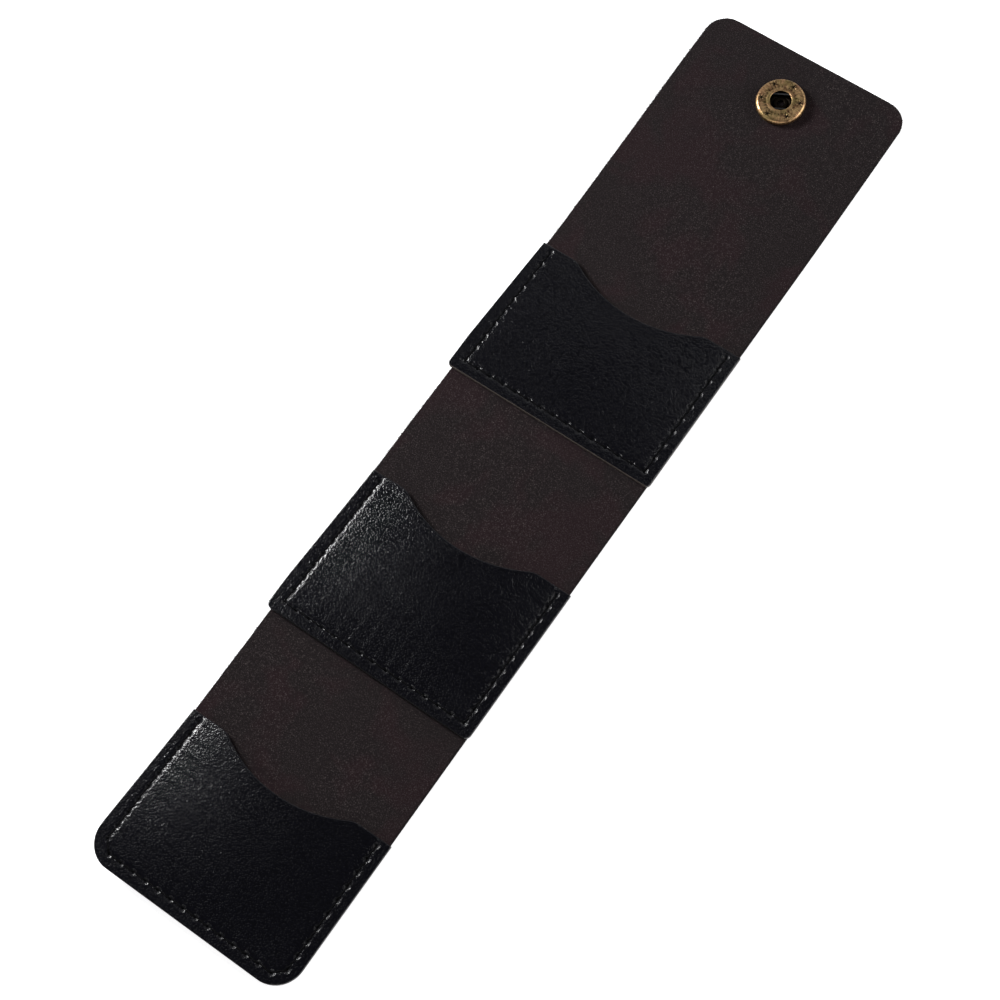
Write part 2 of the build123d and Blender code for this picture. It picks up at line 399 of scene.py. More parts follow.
def antiqueBrass(name, look, isRing=True):
    # brass darkened in a bath and relieved by tumbling: warm and bright on raised parts, brown in the hollows,
    # with rosy and greenish stains and short scratches that run out from the middle
    material, tree = newMaterial(name)
    if isRing:
        # the ring has coordinates for its scratches and, at each point, a value for the patina in its marks and
        # groove and for the painted shade inside its hole
        place, brushed = pointField(tree, "restPlace"), pointField(tree, "spokes")
        patinaAndShade = pointField(tree, "patinaAndShade", "Fac")
        scratchScale = 1.0
    else:
        # of the other parts, all that stands above the lining lies inside the ring or under a pocket, so it gets the
        # painted shade colour
        place = brushed = addNode(tree, "ShaderNodeTexCoord").outputs["Object"]
        level = addNode(tree, "ShaderNodeSeparateXYZ", {}, {"Vector": place}).outputs["Z"]
        inside = addNode(tree, "ShaderNodeMath", {"operation": "GREATER_THAN", 1: liningTop * mm}, {0: level})
        patinaAndShade = inside.outputs[0]
        scratchScale = look["scratchesPerMm"] / mm
    base, clouds = look["bright"], {}
    for stain in ("tarnish", "rose", "green", "streak"):
        colour, perMm, begins, full, most = look[stain]
        where, scale = (place, perMm / mm) if perMm else (brushed, scratchScale)
        clouds[stain] = noise(tree, where, scale, 4.0, 0.6)["Fac"]
        base = mixed(tree, remapped(tree, clouds[stain], (begins, full), (0.0, most)), base, colour)
    # the marks and groove get patina, and the inside of the hole and all under the ring get painted shade, in the
    # same dark colour
    return finished(material, tree, {"Metallic": 1.0},
                    {"Base Color": mixed(tree, patinaAndShade, base, look["inside"]),
                     "Roughness": remapped(tree, clouds["tarnish"], (0.0, 1.0), look["roughness"]),
                     "Normal": relief(tree, clouds["streak"], look["scratchDepth"], 0.5)})


wireLook = {
    "dark": "#3c3c3e",
    "light": "#666668",
    "marksPerMm": 4.0,
    "markDepth": 0.01,
    "roughness": 0.3,
}


def springSteel(name, look):
    # hard-drawn steel wire: grey, smooth along its length, with faint drawing marks
    material, tree = newMaterial(name)
    place = addNode(tree, "ShaderNodeTexCoord").outputs["Object"]
    marks = noise(tree, place, look["marksPerMm"] / mm, 2.0)["Fac"]
    return finished(material, tree, {"Metallic": 1.0, "Roughness": look["roughness"]},
                    {"Base Color": mixed(tree, marks, look["dark"], look["light"]),
                     "Normal": relief(tree, marks, look["markDepth"], 0.3)})


pocketGrain = pebbledCalf("pebbledCalfPocket", leatherLook)
outsideGrain = pebbledCalf("pebbledCalfOutside", leatherLook)
fleshSide = cutEdge("leatherFleshSide", "#1c1a1b", 0.8)
burnishedEdge = cutEdge("burnishedCutEdge", "#18181b", 0.38)
# a pale edge colour: a painted highlight for pocket 1's cut edge
paleEdgeHighlight = cutEdge("paleHighlightCutEdge", "#655c56", 0.5)
suede = nappedSuede("nappedSuedeLining", suedeLook)
threadBlack = bondedThread("bondedPolyesterThread", threadLook)
brassRing = antiqueBrass("antiqueBrassRing", brassLook)
brassParts = antiqueBrass("antiqueBrassParts", brassLook, isRing=False)
steelWire = springSteel("drawnSteelWire", wireLook)
print("materials made")


# the strip: outer leather and suede lining

strip = {
    "halfLength": 133.0,
    "width": 58.3,               # its usual width, by which the mesh's columns are spaced
    "flapCorner": 6.0,
    "endCorner": 7.5,
    # the hand-cut edge wanders a little: Y, left X, right X
    "edge": [(-133, -28.9, 29.4), (-70, -28.7, 29.4), (-5, -29.0, 29.3), (60, -28.3, 29.4), (90, -28.5, 29.4),
             (115, -28.9, 29.2), (133, -28.9, 29.0)],
    "wave": 0.1,                 # how much the open strip still waves up and down
    "waveSize": 46.0,
    "waveSeed": 3,
    "leatherRound": 0.3,
    "suedeRound": 0.22,
    "suedeInset": 0.12,          # the lining is cut a touch narrower than the leather
    # the lower thread pulls a shallow channel and a dimple at each hole into the outside
    "channel": 0.4,
    "holeDimple": 0.25,
    "channelWidth": 0.5,
    # spacing of the mesh: rows on the panels and the folds, columns, and both beside a seam
    "panelRows": 1.6,
    "foldRows": 0.4,
    "columns": 1.6,
    "seamRows": 0.42,
    "seamColumns": 0.3,
    "leftSeam": (1.2, 4.6),      # where the columns are close, from the left edge
    "rightSeam": (3.8, 0.9),     # and from the right one
    "seamMargin": 1.2,
    "cornerReach": 9.0,
    "cornerRows": 19,
}
# what each stretch follows: low Y, high Y, one body or the two that it bends between, and the solids' name for it
stretches = {
    "Flap": (102.55, 133.0, "flap", None, "flap"),
    "FlapFoldUpper": (88.85, 102.55, "flap_fold", "flap", "flap_fold"),
    "FlapFoldLower": (75.15, 88.85, "panel_1", "flap_fold", "flap_fold"),
    "Panel1": (13.7, 75.15, "panel_1", None, "panel_1"),
    "BackFoldUpper": (8.8, 13.7, "panel_1", "back_fold", "back_fold"),
    "BackFoldLower": (0.6, 8.8, "back_fold", "panel_2", "back_fold"),
    "Panel2": (-61.4, 0.6, "panel_2", None, "panel_2"),
    "InnerFoldUpper": (-64.5, -61.4, "panel_2", "inner_fold", "inner_fold"),
    "InnerFoldLower": (-69.1, -64.5, "inner_fold", "panel_3", "inner_fold"),
    "Panel3": (-133.0, -69.1, "panel_3", None, "panel_3"),
}
# loose fibres of nap on the lining's cut edges
fibre = {
    "perMm": 9.0,
    "length": (0.15, 0.5),
    "lean": 0.5,
    "lift": (-0.25, 0.35),
    "depth": (0.05, 0.42),       # how far below the lining's face a fibre starts
    "radius": 0.035,
    "rooted": 0.1,               # how deep it sits in the edge
}
seam = {"leftMouth": -25.7, "leftBottom": -26.6, "right": 27.0, "aboveBottom": 3.1, "belowMouth": 1.7, "pitch": 3.8}
pockets = {
    1: {"bottom": 13.6, "mouth": 53.8, "corner": 1.2, "cut": 0.0, "swell": 0.5, "crushedBelow": 0.1},
    2: {"bottom": -61.2, "mouth": -18.8, "corner": 1.6, "cut": 0.0, "swell": 1.0, "crushedBelow": 0.4},
    3: {"bottom": -133.0, "mouth": -91.2, "corner": 7.5, "cut": 2.6, "swell": 1.0, "crushedBelow": 1.0},
}


def stripSides(y, inset=0.0):
    # left and right X of the strip at each Y, with the rounded ends
    ys, lefts, rights = np.array(strip["edge"]).T
    half = strip["halfLength"] - inset
    pull = roundOver(half - y, strip["flapCorner"]) + roundOver(half + y, strip["endCorner"])
    return np.interp(y, ys, lefts) + inset + pull, np.interp(y, ys, rights) - inset - pull


def acrossLines(width, step, seamColumns):
    # columns that are close together near the edges and even between, as shares of the whole width
    near = np.array([*closeLines, 1.0, 1.6, 2.6])
    middle = np.linspace(near[-1], width - near[-1], max(3, int((width - 2 * near[-1]) / step)))
    lines = apart(np.sort([*near, *middle, *(width - near), *seamColumns]))
    lines[-1] = width
    return lines / width


def stripWave(x, y):
    return strip["wave"] * ripple(x, y, strip["waveSize"], strip["waveSeed"])


def seamLines(pocket):
    # the corners of a seam, from the left of the mouth round to the right
    top = pocket["mouth"] - seam["belowMouth"]
    row = pocket["bottom"] + seam["aboveBottom"]
    cut = pocket["cut"]
    corners = [(seam["leftMouth"], top), (seam["leftBottom"], row + cut), (seam["right"], row + cut),
               (seam["right"], top)]
    if cut:
        corners[2:2] = [(seam["leftBottom"] + cut, row), (seam["right"] - cut, row)]
    return corners


def seamHoles(pocket):
    corners = seamLines(pocket)
    points = []
    for (ax, ay), (bx, by) in zip(corners, corners[1:]):
        steps = max(1, round(math.dist((ax, ay), (bx, by)) / seam["pitch"]))
        points += [(ax + (bx - ax) * n / steps, ay + (by - ay) * n / steps) for n in range(steps)]
    return points + [corners[-1]]


def seamDistance(x, y, pocket):
    corners = seamLines(pocket)
    return np.min([segmentDistance(x, y, a, b) for a, b in zip(corners, corners[1:])], axis=0)


def holeDistance(x, y, pocket):
    nearest = np.full(np.shape(x), 1e9)
    for hx, hy in seamHoles(pocket):
        nearest = np.minimum(nearest, np.hypot(x - hx, y - hy))
    return nearest


def edgeFibres(low, high):
    # thin three-sided hairs that stand out from both cut edges, bent at half their length
    points, faces = [], []
    count = int((high - low) * fibre["perMm"])
    r, bent = fibre["radius"], 0.7 * fibre["radius"]
    for side, out in ((0, -1), (1, 1)):
        ys = dice.uniform(low + 0.2, high - 0.2, count)
        outline = stripSides(ys, strip["suedeInset"])[side]
        lengths = dice.uniform(*fibre["length"], count)
        lean = dice.normal(0, fibre["lean"], count)
        lift = dice.uniform(*fibre["lift"], count)
        heights = liningTop - dice.uniform(*fibre["depth"], count)
        for y, x, length, slope, up, h in zip(ys, outline, lengths, lean, lift, heights):
            n = len(points)
            root = x - out * fibre["rooted"]
            midX, midY, midZ = x + out * length * 0.5, y + slope * length * 0.35, h + up * length * 0.3
            points += [(root, y - r, h - r), (root, y + r, h - r), (root, y, h + r), (midX, midY - bent, midZ - bent),
                       (midX, midY + bent, midZ - bent), (midX, midY, midZ + bent),
                       (x + out * length, y + slope * length, h + up * length)]
            for a, b in ((0, 1), (1, 2), (2, 0)):
                faces += [(n + a, n + b, n + b + 3), (n + a, n + b + 3, n + a + 3), (n + a + 3, n + b + 3, n + 6)]
    return points, faces


def stripRows(low, high, bends, pocket):
    # the Y of the mesh's rows on one stretch
    half = strip["halfLength"]
    rows = evenLines(low, high, strip["foldRows"] if bends else strip["panelRows"], low == -half, high == half)
    if low == -half or high == half:
        # closer rows round the corners of the strip's ends
        reach = np.linspace(0, strip["cornerReach"], strip["cornerRows"])[1:]
        rows = np.unique(np.concatenate([rows, high - reach if high == half else low + reach]).round(4))
    if pocket:
        seamTop, seamLow = pocket["mouth"] - seam["belowMouth"], pocket["bottom"] + seam["aboveBottom"]
        margin = strip["seamMargin"]
        beside = np.arange(seamLow - margin, seamTop + margin, strip["seamRows"]).clip(low, high)
        rows = apart(np.unique(np.concatenate([rows, beside]).round(3)), 0.04)
    rows[0], rows[-1] = low, high
    return rows


def makeStrip():
    half, width = strip["halfLength"], strip["width"]
    for part, (low, high, bodyA, bodyB, solid) in stretches.items():
        pocket = pockets.get(int(part[-1])) if part[-1].isdigit() else None
        rowsY = stripRows(low, high, bodyB is not None, pocket)
        seamColumns = []
        if pocket:
            (leftFrom, leftTo), (rightFrom, rightTo) = strip["leftSeam"], strip["rightSeam"]
            seamColumns = [*np.arange(leftFrom, leftTo, strip["seamColumns"]),
                           *np.arange(width - rightFrom, width - rightTo, strip["seamColumns"])]
        shares = acrossLines(width, strip["columns"], seamColumns)
        for layer in ("outerLeather", "suedeLining"):
            isSuede = layer == "suedeLining"
            inset = strip["suedeInset"] if isSuede else 0.0
            rows = rowsY.copy()
            rows[-1] -= inset * (high == half)
            rows[0] += inset * (low == -half)
            left, right = stripSides(rows, inset)
            x = left[:, None] + (right - left)[:, None] * shares[None, :]
            y = np.repeat(rows[:, None], len(shares), 1)
            edge = np.minimum.reduce([x - left[:, None], right[:, None] - x, half - inset - np.abs(y)])
            wave = stripWave(x, y)
            extra = None
            if isSuede:
                top = liningTop + wave - roundOver(edge, strip["suedeRound"])
                bottom = liningBottom + wave
                extra = edgeFibres(low, high)
            else:
                top = liningBottom + wave
                bottom = leatherBottom + wave + roundOver(edge, strip["leatherRound"])
            if pocket and not isSuede:
                bottom += strip["channel"] * np.exp(-(seamDistance(x, y, pocket) / strip["channelWidth"]) ** 2)
                bottom += strip["holeDimple"] * np.exp(-(holeDistance(x, y, pocket) / strip["channelWidth"]) ** 2)
            openEnds = (low != -half, high != half)
            materials = [suede, fleshSide, suede] if isSuede else [fleshSide, outsideGrain, burnishedEdge]
            piece = sheet(layer + part, x, y, top, bottom, materials, openEnds, extra=extra)
            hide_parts(("suede_lining_" if isSuede else "outer_leather_") + solid)
            if bodyB is None:
                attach(piece, bodyA)
            else:
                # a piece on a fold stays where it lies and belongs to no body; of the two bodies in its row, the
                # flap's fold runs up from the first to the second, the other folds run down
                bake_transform(piece)


makeStrip()
print("strip made")


# pockets

pocketForm = {
    "leftMouth": -28.7,
    "leftBottom": -30.0,
    "right": 30.0,
    "taperEnd": 9.0,
    "scoopX": 0.5,
    "scoopRadius": 36.13,
    "scoopDepth": 5.4,
    "shoulder": 6.0,
    "edgeRound": 0.26,
    "backRound": 0.4,            # how much of that rounding the back of the edge has
    "rise": 1.08,
    "steepShare": 0.07,          # how much of the rise comes at once beside the seam
    "steep": 0.3,
    "archWidth": 26.8,           # the rest climbs in an arch to the middle of the pocket
    "archLength": 24.0,
    "flatBeside": 0.3,           # the swelling begins this far inside the seam
    "slanted": 0.5,              # how far each stitch slants the swelling's edge
    "slantEnds": 0.8,            # where it jumps back, as a share of the stitch
    "pullRadius": 0.8,           # how far round a hole its stitch pulls the leather
    "soften": 2.0,               # how much gentler the climb is beside a stitch hole
    "notch": 0.2,                # how far each stitch pulls the swelling's edge back
    "valley": 0.08,
    "valleyWidth": 0.55,
    "dimple": 0.55,
    "dimpleRadius": 0.5,
    "crushRadius": 0.8,
    "crushedRow": 1.5,           # how far the lower row of holes, with its own crushing, reaches above the seam
    "pucker": 0.05,              # the raised rim round each hole
    "puckerRadius": 1.0,
    "puckerWidth": 0.3,
    "lip": 0.08,                 # how much the mouth stands up, and how far down that reaches
    "lipReach": 5.0,
    "folds": 0.02,
    "foldSize": 9.0,
    "foldSeed": 21,
    "slantedWay": 0.95,          # the mouth's slanted parts make the way to its line shorter than it is along Y
    # spacing of the mesh
    "nearEdge": [0.0, 0.05, 0.12, 0.2, 0.3, 0.45],
    "nearMouth": [0.0, 0.006, 0.014, 0.024, 0.036, 0.055],
    "stepsFrom": 0.7,
    "rowStep": 0.33,
    "columnStep": 0.3,
    "besideSeam": 6.0,           # how far in from the edges the columns are close
    "middleColumns": 126,
    "belowScoop": 3.0,           # where the level rows end
    "mouthRows": 24,
    "edgeRows": 3,               # how many of the first rows have the cut edge's colour, on pocket 1 its pale painted highlight
}


def mouthLine(x, pocket):
    # Y of the scooped mouth at each X: level shoulders, rounded over into one wide arc
    form = pocketForm
    radius, shoulder = form["scoopRadius"], form["shoulder"]
    centre = radius - form["scoopDepth"]
    touch = math.sqrt((radius + shoulder) ** 2 - (centre + shoulder) ** 2)
    meet = touch * radius / (radius + shoulder)
    d = np.abs(x - form["scoopX"])
    arc = centre - np.sqrt(np.maximum(radius ** 2 - d ** 2, 0))
    turn = np.sqrt(np.maximum(shoulder ** 2 - (touch - d) ** 2, 0)) - shoulder
    return pocket["mouth"] + np.where(d < meet, arc, np.where(d < touch, turn, 0.0))


def pocketSides(y, pocket):
    form = pocketForm
    taperEnd = pocket["bottom"] + form["taperEnd"]
    share = np.clip((y - taperEnd) / (pocket["mouth"] - taperEnd), 0, 1)
    left = form["leftBottom"] + (form["leftMouth"] - form["leftBottom"]) * share
    pull = roundOver(y - pocket["bottom"], pocket["corner"])
    return left + pull, form["right"] - pull


def stitchPhase(along, start, end):
    # a saw-tooth from hole to hole: a stitch pulls the leather at a slant, out to 1 and quickly back to 0
    steps = max(1, round((end - start) / seam["pitch"]))
    phase = np.mod((along - start) / (end - start) * steps, 1)
    return np.minimum(phase / pocketForm["slantEnds"], (1 - phase) / (1 - pocketForm["slantEnds"]))


def pocketHeight(x, y, pocket):
    # height of the pocket's upper face above its flat margin, without edges or holes
    form = pocketForm
    top = pocket["mouth"] - seam["belowMouth"]
    row = pocket["bottom"] + seam["aboveBottom"]
    cut = pocket["cut"]
    slope = (seam["leftMouth"] - seam["leftBottom"]) / (top - row - cut)
    leftSeam = seam["leftBottom"] + slope * np.clip(y - row - cut, 0, None)
    toHole = holeDistance(x, y, pocket)
    nearHole = np.exp(-(toHole / form["pullRadius"]) ** 2)
    pulled = form["flatBeside"] + form["notch"] * nearHole
    run = form["steep"] * (1 + form["soften"] * nearHole)
    up = form["slanted"] * stitchPhase(y, row + cut, top)
    across = form["slanted"] * stitchPhase(x, seam["leftBottom"] + cut, seam["right"] - cut)
    inside = [(x - leftSeam - up, form["archWidth"]), (seam["right"] - x - up, form["archWidth"]),
              (y - row - across, form["archLength"])]
    if cut:
        inside += [(((x - seam["leftBottom"]) + (y - row) - cut) / math.sqrt(2), form["archLength"]),
                   (((seam["right"] - x) + (y - row) - cut) / math.sqrt(2), form["archLength"])]
    steep, arch = np.ones(np.shape(x)), np.ones(np.shape(x))
    for d, reach in inside:
        d = np.clip(d - pulled, 0, None)
        steep = steep * (1 - np.exp(-d / run))
        arch = arch * (1 - np.clip(1 - d / reach, 0, 1) ** 2)
    swell = form["rise"] * pocket["swell"] * (form["steepShare"] * steep + (1 - form["steepShare"]) * arch)
    valley = -form["valley"] * np.exp(-(seamDistance(x, y, pocket) / form["valleyWidth"]) ** 2)
    pucker = form["pucker"] * np.exp(-((toHole - form["puckerRadius"]) / form["puckerWidth"]) ** 2)
    toMouth = np.clip(mouthLine(x, pocket) - y, 0, None)
    lift = form["lip"] * np.exp(-toMouth / form["lipReach"]) * steep
    folds = form["folds"] * ripple(x, y, form["foldSize"], form["foldSeed"]) * steep
    return swell + valley + pucker + lift + folds


def pocketGrid(pocket):
    # X and Y of the mesh: level rows up from the bottom, and then rows that draw up to the mouth's own line
    form = pocketForm
    near, first, side = np.array(form["nearEdge"]), form["stepsFrom"], form["besideSeam"]
    width = form["right"] - form["leftBottom"]
    beside = np.arange(first, side, form["columnStep"])
    middle = np.linspace(side, width - side, form["middleColumns"])[1:-1]
    across = np.concatenate([near, beside, middle, width - beside[::-1], width - near[::-1]]) / width
    reach = pocket["mouth"] - form["scoopDepth"] - form["belowScoop"] - pocket["bottom"]
    rows = np.concatenate([near, np.arange(first, reach, form["rowStep"])]) + pocket["bottom"]
    left, right = pocketSides(rows, pocket)
    xs = [left[:, None] + (right - left)[:, None] * across]
    ys = [np.repeat(rows[:, None], len(across), 1)]
    turnY = rows[-1]
    shares = 1 - np.array([*form["nearMouth"], *np.linspace(0.09, 1.0, form["mouthRows"])])[::-1]
    for share in shares[1:]:
        left, right = pocketSides(np.array([turnY + (pocket["mouth"] - turnY) * share]), pocket)
        rowX = left + (right - left) * across
        xs.append(rowX[None, :])
        ys.append((turnY + (mouthLine(rowX, pocket) - turnY) * share)[None, :])
    return np.concatenate(xs), np.concatenate(ys)


def makePocket(number, pocket):
    form = pocketForm
    x, y = pocketGrid(pocket)
    left, right = pocketSides(y, pocket)
    toMouth = (mouthLine(x, pocket) - y) * form["slantedWay"]
    edge = np.clip(np.minimum.reduce([x - left, right - x, y - pocket["bottom"], toMouth]), 0, None)
    fall = roundOver(edge, form["edgeRound"])
    height = pocketHeight(x, y, pocket)
    toHole = holeDistance(x, y, pocket)
    holes = form["dimple"] * np.exp(-(toHole / form["dimpleRadius"]) ** 2)
    wave = stripWave(x, y)
    top = flangeTop + wave + height - holes - fall
    bottom = liningTop + wave + np.clip(height, 0, None) + form["backRound"] * fall
    # the cut edge of pocket 1 is painted pale: a painted highlight for the thin light line along it
    materials = [pocketGrain, fleshSide, paleEdgeHighlight if number == 1 else burnishedEdge]
    piece = sheet(f"pocketLeather{number}", x, y, top, bottom, materials, edgeRows=form["edgeRows"])
    # how much the needle crushed the finish at each point
    lowerRow = y <= pocket["bottom"] + seam["aboveBottom"] + form["crushedRow"]
    crushed = np.zeros(len(piece.data.vertices))
    crushed[:x.size] = (np.exp(-(toHole / form["crushRadius"]) ** 4)
                        * np.where(lowerRow, pocket["crushedBelow"], 1.0)).ravel()
    addField(piece, "crushed", crushed)
    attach(piece, f"panel_{number}")
    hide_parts(f"pocket_leather_{number}")


for number, pocket in pockets.items():
    makePocket(number, pocket)
print("pockets made")


# sewing thread

threadForm = {
    "plyRadius": 0.19,
    "plyOffset": 0.13,
    "turns": 1.25,               # twist of the plies along one stitch
    "rings": 12,
    "sides": 7,
    "crown": -0.1,               # height of a stitch's middle over the leather
    "dip": 0.55,                 # how deep its ends dive into the holes
    "slant": 0.13,
    "above": 0.02,
    "inChannel": 0.34,           # how deep the lower thread lies in its channel
}


def stitchTubes(start, end, surface, out):
    # one stitch: two plies twisted round each other, diving into a hole at both ends
    form = threadForm
    rings, sides = form["rings"], form["sides"]
    points, faces = [], []
    t = np.linspace(0, 1, rings)
    (ax, ay), (bx, by) = start, end
    length = math.dist(start, end)
    ux, uy = (bx - ax) / length, (by - ay) / length
    lean = form["slant"] * (1 - 2 * t)
    px = ax + (bx - ax) * t - uy * lean
    py = ay + (by - ay) * t + ux * lean
    pz = surface(px, py) + out * (form["crown"] - form["dip"] * (np.abs(2 * t - 1) ** 4))
    for ply in (0, 1):
        angle = 2 * math.pi * form["turns"] * t + ply * math.pi
        cx = px - uy * form["plyOffset"] * np.cos(angle)
        cy = py + ux * form["plyOffset"] * np.cos(angle)
        cz = pz + form["plyOffset"] * np.sin(angle)
        base = len(points)
        for n in range(rings):
            for s in range(sides):
                a = 2 * math.pi * s / sides
                w, h = form["plyRadius"] * math.cos(a), form["plyRadius"] * math.sin(a)
                points.append((cx[n] - uy * w, cy[n] + ux * w, cz[n] + h))
        for n in range(rings - 1):
            low, high = base + n * sides, base + (n + 1) * sides
            faces += [(high + s, high + (s + 1) % sides, low + (s + 1) % sides, low + s) for s in range(sides)]
        faces.append([base + s for s in range(sides)])
        faces.append([base + (rings - 1) * sides + s for s in range(sides)][::-1])
    return points, faces


def makeThread(number, pocket):
    holes = seamHoles(pocket)

    def upper(x, y):
        return flangeTop + stripWave(x, y) + pocketHeight(x, y, pocket) + threadForm["above"]

    def lower(x, y):
        return leatherBottom + stripWave(x, y) + threadForm["inChannel"]

    for name, surface, out, solid in (("topThread", upper, 1, "top_thread"),
                                      ("bobbinThread", lower, -1, "bobbin_thread")):
        points, faces = [], []
        for start, end in zip(holes, holes[1:]):
            more, moreFaces = stitchTubes(start, end, surface, out)
            faces += [[i + len(points) for i in face] for face in moreFaces]
            points += more
        piece = meshObject(f"{name}{number}", points, faces, [threadBlack])
        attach(piece, f"panel_{number}")
        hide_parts(f"{solid}_{number}")


for number, pocket in pockets.items():
    makeThread(number, pocket)
print("threads made")


# the snap

ring = {
    "x": -0.3,
    "y": 118.1,
    "sides": 360,
    "radius": 6.4,
    "rimRound": 1.0,
    "rimMiddle": 1.23,           # height of the middle of the rim's upper rounding
    "hole": 2.75,
    # six asterisks and a circle of short dashes, all pressed into the face
    "marks": 6, "markRadius": 4.95, "markTurn": 21.0, "markSize": 1.0, "markDepth": 0.13,
    "markReach": 1.4, "armWidth": 0.14, "markStain": 1.2,
    "dashes": 28, "dashRadius": 3.98, "dashLength": 0.34, "dashWidth": 0.17, "dashDepth": 0.06, "dashStain": 0.95,
    # the dirt in the corner between the face and the lip
    "grooveRadius": 3.86, "grooveWidth": 0.12, "grooveStain": 0.4,
    "dent": 0.02,                # how much the rim is out of true, in three bends
    # coordinates for the scratches: far round the ring and little along the radius, so that they run outwards
    "scratchRound": 22.0, "scratchAlong": 0.6,
}


def profileArc(centreR, centreZ, radius, start, end, count):
    turns = np.radians(np.linspace(start, end, count))
    return [(centreR + radius * math.cos(t), centreZ + radius * math.sin(t)) for t in turns]


def ringProfile():
    # the turned section from the plate out round the rim, over the face and down inside the hole: radius, height
    curl, hole = ring["rimRound"], ring["hole"]
    middle = ring["radius"] - curl
    outside = [(1.2, 0.0), (4.0, 0.0), *profileArc(middle, curl, curl, -90, 0, 9),
               *profileArc(middle, ring["rimMiddle"], curl, 4, 94, 14)]
    # the face falls towards the hole, at this slope from this radius and height, and is a little crowned
    faceR, faceZ, slope, crown, across = 5.33, 2.22, 0.078, 0.04, 1.5
    face = [(r, faceZ - slope * (faceR - r) + crown * math.sin((faceR - r) / across * math.pi))
            for r in np.arange(5.27, 3.9, -0.06)]
    lip = [(3.84, 2.1), (3.7, 2.115), (3.56, 2.145), (3.42, 2.18), (3.28, 2.205), (3.14, 2.215), (3.02, 2.21),
           (2.92, 2.185), (2.84, 2.14), (2.78, 2.08), (hole, 2.0), (hole, 1.92), (2.77, 1.85), (2.85, 1.8)]
    inside = [(3.4, 1.79), (5.0, 1.79), (5.6, 1.76), (5.95, 1.55), (6.08, 1.2), (6.08, 0.9), (5.9, 0.52), (5.4, 0.37),
              (3.0, 0.35), (1.2, 0.35)]
    return outside + face + lip + inside


def pressedMarks(x, y):
    # how deep the face is pressed in at each point, and how dark the bath left it there
    pressed, stain = np.zeros(x.shape), np.zeros(x.shape)
    for n in range(ring["marks"]):
        turn = math.radians(ring["markTurn"] + n * 360 / ring["marks"])
        dx = x - ring["markRadius"] * math.cos(turn)
        dy = y - ring["markRadius"] * math.sin(turn)
        away = np.hypot(dx, dy)
        heading = np.arctan2(dy, dx) - turn
        # a plain six-armed asterisk
        arms = np.exp(-((away * np.sin(3 * heading) / 3) / ring["armWidth"]) ** 2)
        mark = arms * np.clip(ring["markReach"] - away / ring["markSize"], 0, 1)
        pressed = np.maximum(pressed, ring["markDepth"] * mark)
        stain = np.maximum(stain, np.clip(ring["markStain"] * mark, 0, 1))
    for n in range(ring["dashes"]):
        turn = 2 * math.pi * n / ring["dashes"]
        along = x * math.cos(turn) + y * math.sin(turn) - ring["dashRadius"]
        aside = y * math.cos(turn) - x * math.sin(turn)
        dash = np.exp(-(along / ring["dashLength"]) ** 2 - (aside / ring["dashWidth"]) ** 2)
        pressed = np.maximum(pressed, ring["dashDepth"] * dash)
        stain = np.maximum(stain, ring["dashStain"] * dash)
    return pressed, stain


def makeRing():
    profile = np.array(ringProfile())
    count, sides = len(profile), ring["sides"]
    angles = np.arange(sides) / sides * 2 * math.pi
    r = np.repeat(profile[:, 0][:, None], sides, 1)
    z = np.repeat(profile[:, 1][:, None], sides, 1)
    a = np.repeat(angles[None, :], count, 0)
    onFace = (z > 2.0) & (r > 3.5) & (r < 5.7)
    x, y = r * np.cos(a), r * np.sin(a)
    pressed, stain = pressedMarks(x, y)
    dent = ring["dent"] * np.sin(a * 3 + 1) * (r > 5.4)
    z = z - pressed * onFace + dent * (z > 1.5)
    points = np.stack([x + ring["x"], y + ring["y"], z + liningTop], -1).reshape(-1, 3)
    index = np.arange(count * sides).reshape(count, sides)
    after = np.roll(index, -1, 1)
    faces = np.stack([index, after, np.roll(after, -1, 0), np.roll(index, -1, 0)], -1).reshape(-1, 4).tolist()
    piece = meshObject("snapSocketRing", points, faces, [brassRing])
    # painted shade inside the hole and on the ring's hidden underside
    paintedShadeInHole = ((r < 2.8) & (z < 2.05)) | ((r < 6.1) & (z > 0.3) & (z < 1.85))
    groove = ring["grooveStain"] * np.exp(-((r - ring["grooveRadius"]) / ring["grooveWidth"]) ** 2) * (z > 2.0)
    addField(piece, "patinaAndShade", np.maximum.reduce([stain * onFace, paintedShadeInHole, groove]))
    farRound = ring["scratchRound"]
    spokes = np.stack([np.cos(a) * farRound, np.sin(a) * farRound, r * ring["scratchAlong"]], -1)
    addField(piece, "spokes", spokes, "FLOAT_VECTOR")
    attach(piece, "flap")
    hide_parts("snap_socket")


makeRing()

# the cap, stud, post and spring keep the shapes of their solids and get metal finishes
for name, finish in {"snap_cap": brassParts, "snap_stud": brassParts, "snap_post": brassParts,
                     "snap_spring": steelWire}.items():
    node = next(o for o in bpy.context.scene.objects if o.get("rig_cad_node") == name)
    node.data.materials.clear()
    node.data.materials.append(finish)
print("snap made")


# floor, lights and camera

studio = {
    "floorColour": "#f2f2f2",
    "floorGlow": 0.82,
    # metres: the floor ends in a low round wall of the same paint
    "wallReach": 6.0,
    "wallHeight": 2.6,
    "wallSides": 96,
    "roomLight": 0.06,
    # lamps: place over the strip's middle and size in millimetres, power in watts
    # the large soft light at the left, low enough that the leather doesn't mirror it
    "keyLamp": {"at": (-470, 10, 315), "size": (150, 180), "power": 3.3},
    "fillLamp": {"at": (430, 300, 220), "size": (500, 300), "power": 1.4},
    # the two small ones that the leather mirrors: on the left of the pockets, and low on pocket 1
    "sheenLamp": {"at": (-410, -40, 519), "size": (130, 280), "power": 0.125},
    "glintLamp": {"at": (140, 190, 519), "size": (60, 60), "power": 0.12},
    # and one over the flap's end that only the metal ring mirrors
    "ringLamp": {"at": (-160, 400, 519), "size": (300, 200), "power": 0.13},
    # a low one before the strip's end, for the cut edges that look that way
    "edgeLamp": {"at": (120, -520, 260), "size": (240, 120), "power": 0.5},
}


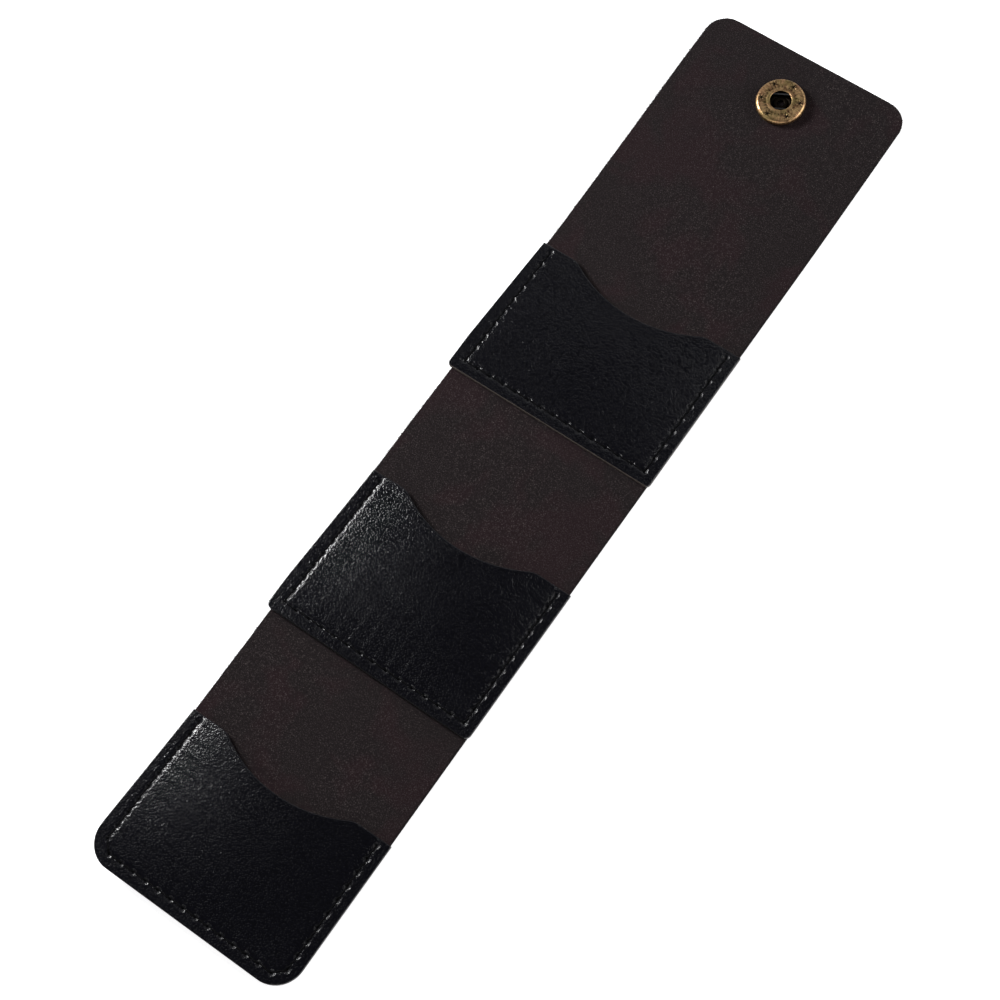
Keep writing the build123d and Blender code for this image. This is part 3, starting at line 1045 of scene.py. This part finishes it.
def makeFloor():
    material, tree = newMaterial("paintedStudioFloor")
    seen = addNode(tree, "ShaderNodeLightPath")
    direct = addNode(tree, "ShaderNodeMath", {"operation": "MAXIMUM"},
                     {0: seen.outputs["Is Camera Ray"], 1: seen.outputs["Is Glossy Ray"]})
    shown = addNode(tree, "ShaderNodeMath", {"operation": "MAXIMUM"},
                    {0: direct.outputs[0], 1: seen.outputs["Is Transmission Ray"]})
    glow = addNode(tree, "ShaderNodeMath", {"operation": "MULTIPLY", 1: studio["floorGlow"]}, {0: shown.outputs[0]})
    paint = addNode(tree, "ShaderNodeBsdfDiffuse", {"Color": toLinear(studio["floorColour"])})
    light = addNode(tree, "ShaderNodeEmission", {}, {"Strength": glow.outputs[0]})
    both = addNode(tree, "ShaderNodeAddShader", {}, {0: paint.outputs[0], 1: light.outputs[0]})
    addNode(tree, "ShaderNodeOutputMaterial", {}, {"Surface": both.outputs[0]})
    mesh = bpy.data.meshes.new("studioFloor")
    sides, reach = studio["wallSides"], studio["wallReach"]
    around = [(reach * math.cos(2 * math.pi * n / sides), reach * math.sin(2 * math.pi * n / sides))
              for n in range(sides)]
    points = [(x, y, z) for z in (0.0, studio["wallHeight"]) for x, y in around]
    walls = [(n, n + sides, (n + 1) % sides + sides, (n + 1) % sides) for n in range(sides)]
    mesh.from_pydata(points, [], [list(range(sides)), *walls])
    mesh.materials.append(material)
    floor = bpy.data.objects.new("studioFloor", mesh)
    bpy.context.scene.collection.objects.link(floor)


def makeLamp(name, setting):
    lamp = bpy.data.lights.new(name, "AREA")
    lamp.shape = "RECTANGLE"
    lamp.size, lamp.size_y = (s * mm for s in setting["size"])
    lamp.energy = setting["power"]
    holder = bpy.data.objects.new(name, lamp)
    bpy.context.scene.collection.objects.link(holder)
    holder.location = Vector(setting["at"]) * mm + Vector((0, 0, liningTop * mm))
    aim = Vector((0, 0, liningTop * mm)) - holder.location
    holder.rotation_mode = "QUATERNION"
    holder.rotation_quaternion = aim.to_track_quat("-Z", "Y")


def makeWorld():
    world = bpy.data.worlds.new("studioRoom")
    bpy.context.scene.world = world
    world.use_nodes = True
    tree = world.node_tree
    tree.nodes.clear()
    air = addNode(tree, "ShaderNodeBackground", {"Color": (1, 1, 1, 1), "Strength": studio["roomLight"]})
    addNode(tree, "ShaderNodeOutputWorld", {}, {"Surface": air.outputs[0]})


makeFloor()
for name in ("keyLamp", "fillLamp", "sheenLamp", "glintLamp", "ringLamp", "edgeLamp"):
    makeLamp(name, studio[name])
makeWorld()

# placed by the perspective of the photograph's flat strip: lens and sensor in millimetres, place in metres over the
# lining, and the directions of the picture's right, its top and the way back to the camera
view = {
    "lens": 82.96,
    "sensor": 36.0,
    "nearest": 0.01,
    "farthest": 20.0,
    "place": (0.15928, -0.13043, 0.51946),
    "right": (0.80971, 0.57641, -0.11006),
    "up": (-0.51392, 0.78707, 0.34119),
    "back": (0.28329, -0.21971, 0.93353),
}
cameraData = bpy.data.cameras.new("photoCamera")
cameraData.lens = view["lens"]
cameraData.sensor_width = view["sensor"]
cameraData.clip_start, cameraData.clip_end = view["nearest"], view["farthest"]
camera = bpy.data.objects.new("photoCamera", cameraData)
bpy.context.scene.collection.objects.link(camera)
turned = Matrix((view["right"], view["up"], view["back"])).transposed().to_4x4()
camera.matrix_world = Matrix.Translation(Vector(view["place"]) + Vector((0, 0, liningTop * mm))) @ turned
bpy.context.scene.camera = camera
bpy.context.scene.view_settings.view_transform = "Standard"
print("studio made")

bpy.context.view_layer.update()
